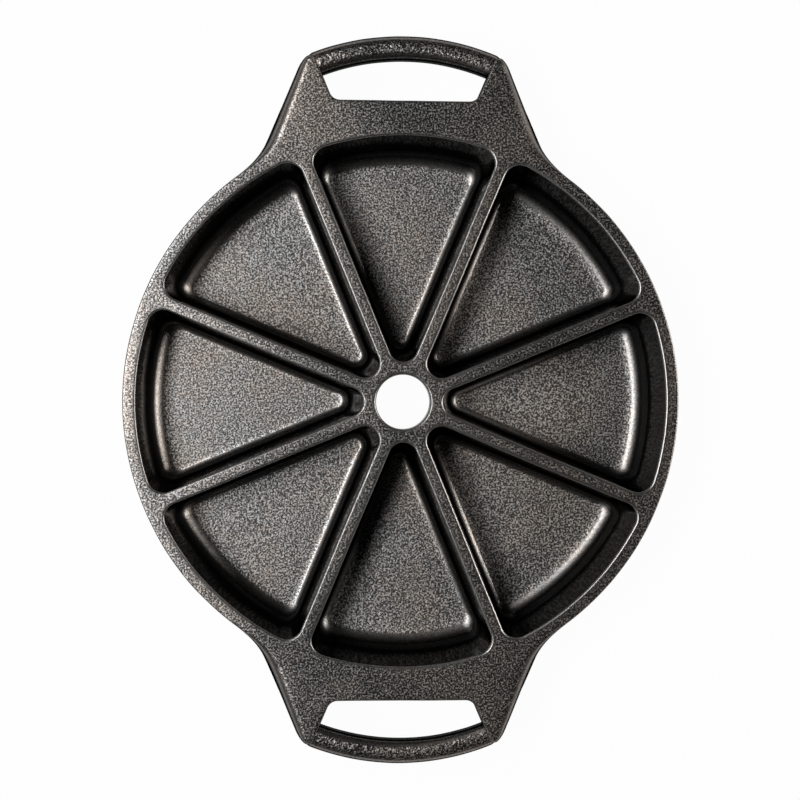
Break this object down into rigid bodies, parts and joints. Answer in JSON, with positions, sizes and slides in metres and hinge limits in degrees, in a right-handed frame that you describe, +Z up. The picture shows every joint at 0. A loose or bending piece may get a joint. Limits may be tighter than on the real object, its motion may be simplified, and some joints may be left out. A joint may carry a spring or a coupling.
{
  "type": "wedge pan",
  "caption": "Round cast iron baking pan with wedge-shaped wells around an open hub and a loop handle at each end, for baking scones or cornbread wedges.",
  "frame": {"origin": "on the plane that the wells stand on, under the middle of the hub hole", "axes": "+Z up, +Y towards the back handle (the upper one in the picture), +X to the right"},
  "size_m": [0.2348, 0.308, 0.03],
  "materials": {
    "seasoned_iron": "sand-cast, oil-seasoned, dull satin"
  },
  "bodies": {
    "root": {"deck_plate": "seasoned_iron", "well_right": "seasoned_iron", "well_back_right": "seasoned_iron", "well_back": "seasoned_iron", "well_back_left": "seasoned_iron", "well_left": "seasoned_iron", "well_front_left": "seasoned_iron", "well_front": "seasoned_iron", "well_front_right": "seasoned_iron", "grip_back": "seasoned_iron", "grip_front": "seasoned_iron"}
  },
  "joints": []
}
